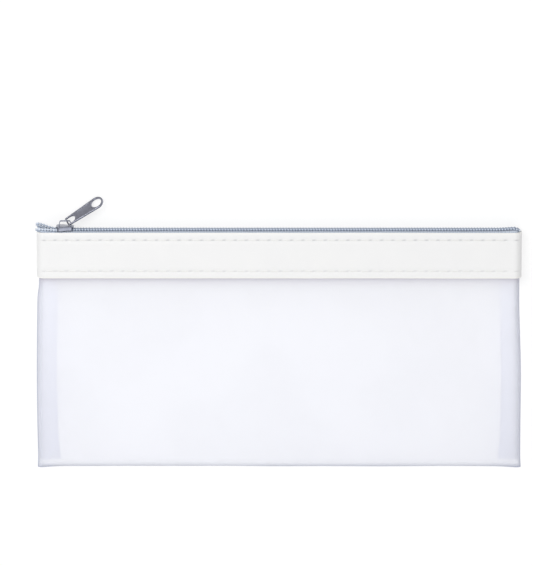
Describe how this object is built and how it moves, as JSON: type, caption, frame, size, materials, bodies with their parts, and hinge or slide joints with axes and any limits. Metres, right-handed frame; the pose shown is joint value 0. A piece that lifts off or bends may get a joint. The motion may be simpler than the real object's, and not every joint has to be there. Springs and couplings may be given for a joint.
{
  "type": "zipper money bag",
  "caption": "Flat pouch of frosted film with a stitched leatherette band round its mouth and a coil zipper along the top, for banknotes, cards and small items.",
  "frame": {"origin": "on the outside of the pouch's back face, in the middle of its length", "axes": "+X along the zipper, away from the end where the slider rests; +Y from the fold at the bottom to the zipper; +Z out of the front face"},
  "size_m": [0.2164, 0.1225, 0.0098],
  "materials": {
    "frosted_film": "frosted translucent film",
    "leatherette": "smooth ivory leatherette",
    "thread": "ivory sewing thread",
    "zipper_tape": "woven blue-grey tape",
    "zipper_coil": "blue-grey nylon",
    "plated_zinc": "dull nickel plate on zinc alloy"
  },
  "bodies": {
    "bag": {"film_pouch": "frosted_film", "front_band": "leatherette", "back_band": "leatherette", "front_upper_stitching": "thread", "front_lower_stitching": "thread", "back_upper_stitching": "thread", "back_lower_stitching": "thread", "front_zipper_tape": "zipper_tape", "rear_zipper_tape": "zipper_tape", "front_zipper_coil": "zipper_coil", "rear_zipper_coil": "zipper_coil"},
    "slider": {"zipper_slider": "plated_zinc"},
    "pull": {"pull_tab": "plated_zinc"}
  },
  "joints": [
    {"name": "slider_slide", "type": "slide", "parent": "bag", "child": "slider", "axis": [1, 0, 0], "range_m": [0, 0.188], "deforming": ["front_zipper_coil", "rear_zipper_coil"]},
    {"name": "pull_tab_swing", "type": "hinge", "parent": "slider", "child": "pull", "pos_m": [-0.094, 0.05715, 0.0049], "axis": [0, 0, 1], "range_deg": [-22, 80]}
  ]
}
